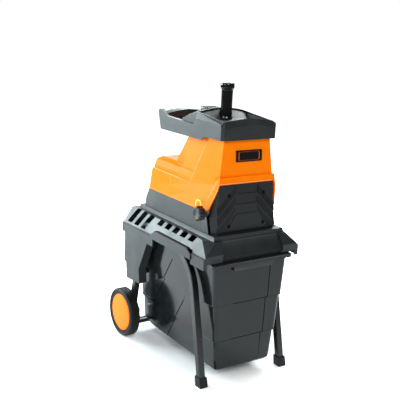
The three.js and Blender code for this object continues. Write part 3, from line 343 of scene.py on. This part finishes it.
# Near-black steel for the grille's screws: painted shade, as dark as the holes they sit in.
PAINTED_HOLE_SHADE_STEEL = metal("steel darkened with painted hole shade", "141516", "242526")
MATERIAL = {
    "stand_black": POWDER, "cover_grey": COVER_GREY, "shell_orange": ORANGE,
    "bin_plastic": BIN_GREY, "grille_plastic": GRILLE_GREY, "tyre_rubber": RUBBER,
    "foot_rubber": RUBBER, "hub_orange": HUB_ORANGE, "wheel_plastic": BLACK_SATIN,
    "bright_steel": ZINC, "cut_steel": GROUND, "cast_metal": CAST, "black_gloss": BLACK_GLOSS,
    "black_plastic": BLACK_SATIN, "green_button": GREEN, "red_button": RED,
    "yellow_plastic": YELLOW,
}
for node_name, node_object in frame["nodes"].items():
    node_object.data.materials.clear()
    # The grille's screws take the near-black steel of the painted hole shade.
    screw = node_name.startswith("grille_screw")
    node_object.data.materials.append(PAINTED_HOLE_SHADE_STEEL if screw else MATERIAL[SLOT[node_name]])
print(len(MATERIAL), "finishes")

# %% [markdown]
# ## The moulded shells
# These are the big parts with flat panels. Each is the CAD solid with rounded edges. A moulded edge
# has a radius of one or two millimetres, which is what draws the thin bright lines along it.

# %% Shells from the CAD solids
SHELLS = {
    "base_cover": 1.2, "lower_housing": 1.2, "upper_housing": 1.4, "hopper_rim": 1.2,
    "front_grille": 0.6, "left_rear_shroud": 2.0, "right_rear_shroud": 2.0,
    "collection_bin": 1.0, "left_foot_cap": 2.0, "right_foot_cap": 2.0, "plunger_plate": 1.5,
    "switch_box": 1.0, "switch_flap": 0.8, "start_button": 1.5, "stop_button": 1.5,
    "badge_plate": 0.5, "turn_mark": 1.5, "power_inlet": 1.2,
}
for shell_name, edge_width in SHELLS.items():
    refined(shell_name, MATERIAL[SLOT[shell_name]], edge_width)
print(len(SHELLS), "shells")
# %% [markdown]
# ## The stand
# The stand is two lengths of 25 mm square tube, each bent twice. The centre line is a straight
# front leg, an arc, a level run, a tighter arc and a straight rear leg. A rounded square is carried
# along it, turned so that it always stays square to the line.

# %% A section carried along a line
def square_section(half, radius, steps=4):
    """A square with rounded corners, as (u, v) points: a quarter arc at each corner in turn."""
    quarter = np.linspace(0, math.pi / 2, steps + 1)
    corners = [(1, 1), (-1, 1), (-1, -1), (1, -1)]
    arcs = [np.stack([(half - radius) * u + radius * np.cos(quarter + turn * math.pi / 2),
                      (half - radius) * v + radius * np.sin(quarter + turn * math.pi / 2)], -1)
            for turn, (u, v) in enumerate(corners)]
    return np.vstack(arcs)


def swept(name, path, section):
    """A section carried along a path in the YZ plane: path point + u across it + v along X."""
    path = np.asarray(path, float)
    along = np.gradient(path[:, 1:], axis=0)
    along /= np.linalg.norm(along, axis=1)[:, None]
    across = np.stack([-along[:, 1], along[:, 0]], -1)
    rings = np.zeros((len(path), len(section), 3))
    rings[:, :, 0] = path[:, :1] + section[:, 1]
    rings[:, :, 1:] = path[:, None, 1:] + section[None, :, :1] * across[:, None, :]
    return grid_object(name, rings, wrap_columns=True, cap_ends=True)


# %% [markdown]
# A leg leans, so its bend turns through less than a right angle. The arc touches both the leg and
# the level run, a tangent's length of radius * tan(half the turn) away from their corner.

# %% The two bent tubes
LEVEL_RUN = 485  # height of the run under the cover, mm
FRONT_LEG, FRONT_LEAN, FRONT_BEND = -302, 0.22, 180
REAR_LEG, REAR_LEAN, REAR_BEND = 254, 0.2, 45


def bend(leg_top, lean, radius, side, steps=16):
    """An arc from a leg that leans by an angle to the level run; side is +1 for the front leg."""
    turn = np.linspace(lean, math.pi / 2, steps)
    tangent = radius * math.tan((math.pi / 2 - lean) / 2)
    y = leg_top + side * (tangent - radius * np.cos(turn))
    return np.stack([y, LEVEL_RUN - radius + radius * np.sin(turn)], -1)


front_leg = [(FRONT_LEG + FRONT_LEAN * z, z) for z in (6, 20, 280)]
front_arc = bend(FRONT_LEG + FRONT_LEAN * LEVEL_RUN, math.atan(FRONT_LEAN), FRONT_BEND, 1, 24)
rear_arc = bend(REAR_LEG - REAR_LEAN * LEVEL_RUN, math.atan(REAR_LEAN), REAR_BEND, -1)[::-1]
rear_leg = [(REAR_LEG - REAR_LEAN * z, z) for z in (400, 40, 20)]
centre_line = np.vstack([front_leg, front_arc, rear_arc, rear_leg])
for side_name, x in (("left", -182), ("right", 182)):
    node = side_name + "_stand_tube"
    line = np.column_stack([np.full(len(centre_line), x), centre_line])
    tube = swept(side_name + "_tube_fine", line, square_section(12.5, 3.5))
    place_piece(bevelled(tube, 0.6), POWDER, BODY[node], [node])
print(len(centre_line), "rings along each tube")

# %% [markdown]
# ## The wheels
# A tyre is its side profile turned once round, with the radius lowered in the gaps between the
# tread blocks. Four rows of blocks lie side by side, and every other row is half a block round. The
# disc carries a ring of small teeth.

# %% Tyre and toothed ring
TYRE_TURN = 1152  # steps in a turn: 24 for each of 48 tread blocks
WHEEL_CENTRE = (0, 234, 100)
full_turn = np.linspace(0, 2 * math.pi, TYRE_TURN, endpoint=False)[None, :]


def wheel_surface(name, sign, radius, place):
    """Points at a radius round the wheel's centre and a place along X, both (rows, turn) arrays."""
    points = np.stack([sign * place, WHEEL_CENTRE[1] + radius * np.cos(full_turn),
                       WHEEL_CENTRE[2] + radius * np.sin(full_turn)], -1)
    return grid_object(name, points, wrap_columns=True, wrap_rows=True, smooth=False)


def tyre(name, sign):
    """Radius 100 on the tread, 97 in the gaps: 48 blocks a turn, in rows split at 210, 220, 230."""
    outer = [[88.2, 234], [88.2, 238.4], [89, 240.2], [90.2, 241.8], [91.6, 241.8], [92.6, 240.4],
             [95.5, 239.9], [97.5, 238.8], [99.2, 236.6], [100, 234.5]]
    treads = [[100 - low, split + side] for split in (230, 220, 210)
              for low, side in ((0, 1.1), (2.6, 0.7), (2.6, -0.7), (0, -1.1))]
    inner = [[100, 203], [99, 200.5], [96, 198.4], [92, 197.6], [88.2, 198.6], [88.2, 205]]
    across = np.array(outer + treads + inner)
    radius, place = across[:, :1], across[:, 1:]
    row = np.digitize(across[:, 1], [210.0, 220.0, 230.0])[:, None]
    phase = (full_turn / (2 * math.pi) * 48 + 0.5 * (row % 2)) % 1
    radius = np.where((phase > 0.78) & (radius > 96.5), np.minimum(radius, 97.0), radius)
    return wheel_surface(name, sign, radius, place + 0 * full_turn)


def toothed_ring(name, sign):
    """A ring of radius 78 to 87.4, its outer face 2.2 mm lower in every other 1/144 turn."""
    across = np.array([[78, 233], [78, 237], [79, 238.6], [86.4, 239.2], [87.4, 238.4],
                       [87.4, 233]])
    low = (full_turn / (2 * math.pi) * 72) % 1 > 0.5
    place = across[:, 1:] - 2.2 * low * (across[:, 1:] > 236)
    return wheel_surface(name, sign, across[:, :1] + 0 * full_turn, place)


# %% [markdown]
# The hub cap and the disc are turned from (radius, place) profiles, the cap slightly domed. A thin
# moulded line runs round the tyre's outer edge. Both wheels are the same, mirrored in X.

# %% Both wheels
DOME = [(0, 241.8), (20, 241.7), (40, 241.2), (58, 240.2), (68, 239.2), (73, 238.2), (75.4, 236.8),
        (76, 235), (76, 233.5), (0, 233.4)]
DISC = [(6.3, 198), (20, 198), (20, 211), (70, 215), (80, 201), (87.7, 201), (87.7, 233.4),
        (77, 233.4), (76.6, 232), (66, 232), (64, 221), (20, 219), (20, 230), (6.3, 230),
        (6.3, 198)]
RIM_LINE = [(90.1, 241.2), (90.5, 241.95), (91.5, 241.95), (91.9, 241.2)]


def wheel_turned(side, part, profile, corner):
    """A profile of the wheel turned round the axle, mirrored for the left side."""
    sign = -1 if side == "left" else 1
    mirrored = [(radius, sign * x) for radius, x in profile]
    shape = rounded_profile(mirrored, corner, 3) if corner else mirrored
    return turned(f"{side}_{part}", shape, WHEEL_CENTRE, sides=96 if corner else 144)


for side_name, sign in (("left", -1), ("right", 1)):
    nodes = {part: f"{side_name}_{part}" for part in ("tyre", "hub_cap", "wheel_disc")}
    rubber = tyre(side_name + "_tyre_fine", sign)
    place_piece(rubber, RUBBER, BODY[nodes["tyre"]], [nodes["tyre"]])
    ring = toothed_ring(side_name + "_ring_fine", sign)
    place_piece(ring, BLACK_SATIN, BODY[nodes["tyre"]])
    cap = wheel_turned(side_name, "hub_cap_fine", DOME, 1.0)
    place_piece(cap, HUB_ORANGE, BODY[nodes["hub_cap"]], [nodes["hub_cap"]])
    disc = wheel_turned(side_name, "disc_fine", DISC, 1.2)
    place_piece(disc, BLACK_SATIN, BODY[nodes["wheel_disc"]],
                [nodes["wheel_disc"]])
    rim_line = wheel_turned(side_name, "tyre_rim_line", RIM_LINE, 0)
    place_piece(rim_line, COVER_GREY, BODY[nodes["tyre"]])
print("two wheels,", TYRE_TURN, "steps round each tyre")

# %% [markdown]
# ## The plunger
# Its handle is turned: a flared foot, a long grip that is a little narrower in the middle, a neck
# and a rounded cap with a shallow dish on top.

# %% Plunger handle
HANDLE = [(0, 943.3), (24, 943.3), (23.2, 947), (21.6, 951), (20.8, 985), (20.6, 1010), (21, 1046),
          (21.4, 1049), (23.6, 1051), (25.4, 1054), (25.6, 1066), (24.2, 1071.4), (21, 1073.3),
          (15, 1073.3), (13, 1071.8), (0, 1071.6)]
handle = turned("plunger_handle_fine", rounded_profile(HANDLE, 2.4, 4), (0, -111, 0), "z", 96)
place_piece(handle, BLACK_GLOSS, "plunger", ["plunger_handle"])
print(len(HANDLE), "points in the handle's profile")

# %% [markdown]
# ## The adjusting knob
# The knob has eight lobes: its radius is a mean plus a cosine of eight times the angle. It narrows
# with rounded shoulders to a face with small moulded dots.

# %% Knob
KNOB_Y, KNOB_Z = -233, 632


def knob():
    """Radius 25.4 + 1.6 cos(8 angle), scaled by a profile along X that rounds both rims."""
    along = np.array([[0.02, -192.2], [0.55, -192.4], [0.6, -193.6], [0.84, -194], [0.93, -193.2],
                      [0.98, -191.4], [1, -188.6], [1, -174], [0.98, -171], [0.93, -168.6],
                      [0.84, -168.1], [0.02, -168.1]])
    turn = np.linspace(0, 2 * math.pi, 128, endpoint=False)
    radius = along[:, :1] * (25.4 + 1.6 * np.cos(8 * turn))
    points = np.stack([along[:, 1:] + 0 * turn, KNOB_Y + radius * np.cos(turn),
                       KNOB_Z + radius * np.sin(turn)], -1)
    return grid_object("adjuster_knob_fine", points, wrap_columns=True)


place_piece(knob(), BLACK_SATIN, "adjuster", ["adjuster_knob"])
DOTS = 6
for dot in range(DOTS):
    angle = dot * 2 * math.pi / DOTS + 0.3
    centre = (0, KNOB_Y + 18 * math.cos(angle), KNOB_Z + 18 * math.sin(angle))
    raised = turned(f"knob_dot_{dot}", [(0, -194.2), (1.6, -194.1), (2.2, -193.2), (2.2, -191.5)],
                    centre, "x", 20)
    place_piece(raised, BLACK_SATIN, "adjuster")
print("knob with", DOTS, "dots")

# %% [markdown]
# ## Small trim
# The badge carries a plain raised frame line and no lettering. A pale label without text lies on
# the hood beside the switch flap.

# %% Badge frame
BADGE_X, BADGE_Z = 7.5, 828.5  # centre of the badge, on a face that leans back by 10 mm in 153


def frame_line(name, half_width, half_height, radius, wire):
    """A rounded rectangle of wire: a small round section carried round the outline."""
    inner_x, inner_z = half_width - radius, half_height - radius
    corners = [(inner_x, inner_z, 0), (-inner_x, inner_z, 90), (-inner_x, -inner_z, 180),
               (inner_x, -inner_z, 270)]
    path = np.array([(x + radius * math.cos(math.radians(start + step)),
                      z + radius * math.sin(math.radians(start + step)))
                     for x, z, start in corners for step in (0, 22.5, 45, 67.5, 90)])
    outward = path / np.linalg.norm(path, axis=1)[:, None]
    turn = np.linspace(0, 2 * math.pi, 8, endpoint=False)
    x = path[:, :1] + wire * np.cos(turn) * outward[:, :1]
    z = path[:, 1:] + wire * np.cos(turn) * outward[:, 1:]
    y = -259 + (BADGE_Z + z - 732) * 10 / 153 - 1.7 - wire * 0.6 * np.sin(turn)
    return grid_object(name, np.stack([BADGE_X + x, y, BADGE_Z + z], -1), wrap_columns=True,
                       wrap_rows=True)


badge_line = frame_line("badge_frame_line", 45, 15, 5, 0.9)
place_piece(badge_line, HUB_ORANGE, BODY["badge_plate"])
print("badge line")

# %% [markdown]
# The label is a thin sheet on the hood. The hood is arched across, and its crest falls to the rear
# in two straight stretches, so the sheet's height is worked out from the same two rules.

# %% Hood label
def hood_height(x, y):
    """Side height plus rise times (1 - (x / 105) squared), both linear in y on each stretch."""
    crown = 1 - (x / 105) ** 2
    if y < -30:
        return 966 - 15 * (y + 83) / 53 + (13 + 6 * (y + 83) / 53) * crown
    return 951 - 20 * (y + 30) / 52 + (19 + 5 * (y + 30) / 52) * crown


label_points = [[(x, y, hood_height(x, y) + 1.1) for x in np.linspace(-96, -66, 9)]
                for y in np.linspace(-27, -5, 7)]
label = grid_object("hood_label", label_points)
thick = label.modifiers.new("thickness", "SOLIDIFY")
thick.thickness = 0.4 * MM
place_piece(label, LABEL, "machine")
print("blank label")

# %% [markdown]
# The orange housing has rolled edges, drawn in a pale orange that is a painted highlight along each
# edge. Each is a thin bead carried along a line in space: at every point a small circle stands
# square to the line's direction.

# %% Rolled edges of the housing, with a painted highlight
def bead(name, path, radius, sides=8):
    """A circle carried along a path and square to it: path + radius * (cos * first + sin * second),
    where first and second are at right angles to the path and to each other."""
    path = np.asarray(path, float)
    along = np.gradient(path, axis=0)
    along /= np.linalg.norm(along, axis=1)[:, None]
    first = np.cross(along, [0.31, 0.2, 0.93])
    first /= np.linalg.norm(first, axis=1)[:, None]
    second = np.cross(along, first)
    turn = np.linspace(0, 2 * math.pi, sides, endpoint=False)[None, :, None]
    circle = np.cos(turn) * first[:, None] + np.sin(turn) * second[:, None]
    rings = path[:, None] + radius * circle
    return grid_object(name, rings, wrap_columns=True, cap_ends=True)


EDGE_LINES = {
    "neck_rear": ([(131.3, -85, 709), (126.5, -96, 732), (120, -111, 771), (112.5, -136, 828),
                   (105, -160, 884)], 1.0),
    "wall_top": ([(131.3, -85, 709), (133.6, -22, 711), (136.5, 40, 714), (140, 103, 716.7),
                  (144, 165, 719.5)], 1.0),
    "strip_rear": ([(151.3, -212.5, 641), (136, -232, 698), (120.3, -252.4, 756)], 0.8),
    "strip_front": ([(151.2, -237.6, 634), (131, -262.2, 711), (124.5, -263.7, 734),
                     (121.4, -261.6, 756.5)], 0.8),
    "wall_seam": ([(142.6, 26, 712), (144.4, 26, 676), (149.8, 26, 640)], 0.35),
}
# Every bead is drawn in the pale orange of the painted edge highlight.
for line_name, (line, wire) in EDGE_LINES.items():
    for side_name, sign in (("left", -1), ("right", 1)):
        obj = bead(f"{side_name}_{line_name}", [(sign * x, y, z) for x, y, z in line], wire)
        place_piece(obj, PAINTED_EDGE_HIGHLIGHT, BODY["upper_housing"])
front_line = bead("front_ledge_line", [(x, -264.6, 735.2) for x in np.linspace(-121, 121, 9)], 0.8)
place_piece(front_line, PAINTED_EDGE_HIGHLIGHT, BODY["upper_housing"])
print(len(EDGE_LINES) * 2 + 1, "beads")

# %% [markdown]
# A black sheet stands inside each of the grille's two slots, 1.6 mm behind its leaning face. It is
# painted shade, so that the slots look as dark as they do over a closed chamber.

# %% Painted shade in the grille's slots
for slot_name, z in (("upper", 698), ("lower", 660)):
    y = -270 + (z - 556.3) * 10 / 175 + 1.6
    corners = [(-42.6, -3.4), (40.6, -3.4), (40.6, 3.4), (-42.6, 3.4)]
    sheet = [[(x, y + deep, z + up) for x, up in corners] for deep in (0, 0.8)]
    slot_shade_sheet = grid_object(slot_name + "_gauze", sheet, wrap_columns=True, cap_ends=True, smooth=False)
    place_piece(slot_shade_sheet, RUBBER, BODY["front_grille"])
print("two pieces of gauze")

# %% [markdown]
# The bin has a thin ledge round each front corner where one moulded stage meets the next. A black
# sheet hangs inside the scooped front of the cover, just above the bin's lip: painted shade in the
# gap between the cover and the bin.

# %% Bin ledges and the painted shade above the bin's lip
BIN_CORNER = 16  # radius of the bin's upright corners, mm


def corner_path(half, front, reach, panel, z):
    """From the side, round the corner, to the front panel: (x, y, z) points."""
    angles = np.radians(np.linspace(180, 270, 9))
    side = [(-half, y, z) for y in np.linspace(reach, front + BIN_CORNER, 4)[:-1]]
    turn = [(-half + BIN_CORNER + BIN_CORNER * math.cos(angle),
             front + BIN_CORNER + BIN_CORNER * math.sin(angle), z) for angle in angles]
    return side + turn + [(x, front, z) for x in np.linspace(-half + BIN_CORNER, panel, 4)[1:]]


LEDGES = {"upper": (154, -317, -215, (-72, 84), 303.4),
          "lower": (139, -311, -232, (-68, 76), 163.4)}
for stage_name, (half, front, reach, panels, z) in LEDGES.items():
    left = np.array(corner_path(half, front, reach, panels[0], z))
    right = np.array(corner_path(half, front, reach, -panels[1], z)) * (-1, 1, 1)
    for side_name, path in (("left", left), ("right", right)):
        ledge = bead(f"{side_name}_{stage_name}_bin_ledge", path, 1.0)
        place_piece(ledge, COVER_GREY, "bin")

# A black sheet of painted shade, filling the gap between the cover and the bin's lip.
gap_shade_outline = [(-134, 467.4), (141, 467.4), (137, 486), (-130, 486)]
gap_shade_sheet = [[(x, y, z) for x, z in gap_shade_outline] for y in (-315.5, -313.5)]
gap_shade = grid_object("front_gap_shade_sheet", gap_shade_sheet, wrap_columns=True, cap_ends=True, smooth=False)
place_piece(gap_shade, RUBBER, "machine")
print("ledges and seal")

# %% [markdown]
# The slanting grooves in the bin's sides are deeper than its 3 mm wall in the CAD solid, so a thin
# strip backs each one on the inside. The wall is in three stages with a slope each, so the strips
# are cut where the stages meet.

# %% Strips behind the bin's grooves
WALL = 3
STRIP_HALF = 5
STAGES = [(71, 163, 127, 133), (163, 303, 139, 147), (303, 432, 154, 161)]
GROOVES = [((-33, 401), (122, 176)), ((122, 174), (262, 168)), ((-136, 307), (50, 38))]


def strip_corners(groove, stage):
    """The groove's centre line inside one stage, 5 mm to each side, 0.3 and 1.3 mm inside."""
    (y0, z0), (y1, z1) = groove
    bottom, top, half_low, half_high = stage
    lowest, highest = bottom + 0.6, top - 0.6
    high, low = min(z0, highest), max(z1, lowest)
    if high <= low:
        return None

    def inner_face(z):
        return half_low + (half_high - half_low) * (z - bottom) / (top - bottom) - WALL

    ends = [(y0 + (y1 - y0) * (z0 - z) / (z0 - z1), z) for z in (high, low)]
    length = math.hypot(y1 - y0, z1 - z0)
    u, v = STRIP_HALF * (z1 - z0) / length, STRIP_HALF * (y1 - y0) / length
    outline = [(ends[0][0] - u, ends[0][1] + v), (ends[0][0] + u, ends[0][1] - v),
               (ends[1][0] + u, ends[1][1] - v), (ends[1][0] - u, ends[1][1] + v)]
    outline = [(min(y, 236), min(max(z, lowest), highest)) for y, z in outline]
    return [[(inner_face(z) - deep, y, z) for y, z in outline] for deep in (0.3, 1.3)]


strips = 0
for groove_number, groove in enumerate(GROOVES):
    for stage_number, stage in enumerate(STAGES):
        corners = strip_corners(groove, stage)
        for side_name, sign in (("left", -1), ("right", 1)) if corners else ():
            points = np.array(corners) * (sign, 1, 1)
            obj = grid_object(f"{side_name}_groove_strip_{groove_number}_{stage_number}", points,
                              wrap_columns=True, cap_ends=True, smooth=False)
            place_piece(obj, BIN_GREY, "bin")
            strips += 1
print(strips, "backing strips")

# %% [markdown]
# ## The studio
# The machine stands on a pale floor. The floor is lit only near the machine, where it shows the
# shadow, and glows white to the camera further out, so that no horizon shows.

# %% Floor
FLOOR_HALF = 30
floor_material, floor_tree, floor_place = new_material("pale studio floor")
far = add(floor_tree, "ShaderNodeVectorMath", {0: floor_place}, operation="LENGTH")
fade = add(floor_tree, "ShaderNodeMapRange",
           {"Value": far.outputs["Value"], "From Min": 0.22, "From Max": 0.62})
on_screen = add(floor_tree, "ShaderNodeLightPath").outputs["Is Camera Ray"]
glow = add(floor_tree, "ShaderNodeMath", {0: fade.outputs["Result"], 1: on_screen},
           operation="MULTIPLY")
finish_material(floor_tree, **{
    "Base Color": linear("ffffff"), "Roughness": 0.9, "Specular IOR Level": 0.1,
    "Emission Color": (1, 1, 1, 1), "Emission Strength": glow.outputs["Value"]})
floor_mesh = bpy.data.meshes.new("floor")
floor_corners = [(FLOOR_HALF * x, FLOOR_HALF * y, 0)
                 for x, y in ((-1, -1), (1, -1), (1, 1), (-1, 1))]
floor_mesh.from_pydata(floor_corners, [], [(0, 1, 2, 3)])
floor_mesh.materials.append(floor_material)
floor_object = bpy.data.objects.new("floor", floor_mesh)
bpy.context.scene.collection.objects.link(floor_object)
print("floor", 2 * FLOOR_HALF, "m wide")

# %% [markdown]
# Large lights behind on both sides lie where the satin sides and the sloping tops mirror them. That
# makes those bright and leaves the front dark. Weaker ones from the left, the front and above fill
# in. Each is a rectangle that points at the machine and isn't seen itself.

# %% Softboxes
def softbox(name, place, target, size, power, colour="ffffff"):
    """A soft rectangular light that the camera doesn't see."""
    light = bpy.data.lights.new(name, "AREA")
    light.shape = "RECTANGLE"
    light.size, light.size_y = size
    light.energy = power
    light.color = linear(colour)[:3]
    obj = bpy.data.objects.new(name, light)
    obj.location = place
    obj.rotation_euler = (Vector(target) - Vector(place)).to_track_quat("-Z", "Y").to_euler()
    obj.visible_camera = False
    bpy.context.scene.collection.objects.link(obj)


softbox("rear left softbox", (-2.4, 3.7, 2.0), (0, 0, 0.6), (3.2, 2.6), 380, "e6f6fa")
softbox("rear right softbox", (1.7, 2.6, 2.3), (0, 0, 0.9), (2.2, 1.4), 90, "e6f2fa")
softbox("left softbox", (-3.4, -0.5, 2.2), (0, 0, 0.6), (2.0, 2.0), 60, "f0f8fb")
softbox("front fill", (-1.3, -3.4, 2.9), (0, 0, 0.6), (2.0, 1.6), 85)
softbox("top softbox", (1.8, 0.9, 3.3), (0, 0, 0.8), (2.2, 2.2), 110, "f0f8fb")
print("five softboxes")

# %% [markdown]
# The backdrop is white to the camera, and gives the machine only a little light. The standard view
# transform keeps white as white.

# %% Backdrop
world = bpy.data.worlds.new("studio")
world.use_nodes = True
bpy.context.scene.world = world
background = world.node_tree.nodes["Background"].inputs
seen = add(world.node_tree, "ShaderNodeLightPath").outputs["Is Camera Ray"]
backdrop = add(world.node_tree, "ShaderNodeMapRange",
               {"Value": seen, "To Min": 0.12, "To Max": 1.0})
background["Color"].default_value = (1, 1, 1, 1)
world.node_tree.links.new(backdrop.outputs["Result"], background["Strength"])
bpy.context.scene.view_settings.view_transform = "Standard"
print("white backdrop")

# %% [markdown]
# The camera looks from the front left and a little from above. Its three axes are worked out from
# its heading, its dip and its roll, and become the columns of its matrix.

# %% Camera
YAW, PITCH, ROLL = math.radians(33.8), math.radians(-13.8), math.radians(2.6)
forward = Vector((math.sin(YAW) * math.cos(PITCH), math.cos(YAW) * math.cos(PITCH),
                  math.sin(PITCH)))
right_level = forward.cross(Vector((0, 0, 1))).normalized()
up_level = right_level.cross(forward)
right = right_level * math.cos(ROLL) + up_level * math.sin(ROLL)
up = up_level * math.cos(ROLL) - right_level * math.sin(ROLL)
lens = bpy.data.cameras.new("camera")
lens.lens = 64.84
lens.sensor_width = 36
camera = bpy.data.objects.new("camera", lens)
camera.matrix_world = Matrix((right, up, -forward)).transposed().to_4x4()
camera.location = (-1.5323, -2.2542, 1.2774)
bpy.context.scene.collection.objects.link(camera)
bpy.context.scene.camera = camera
print("camera", lens.lens, "mm")
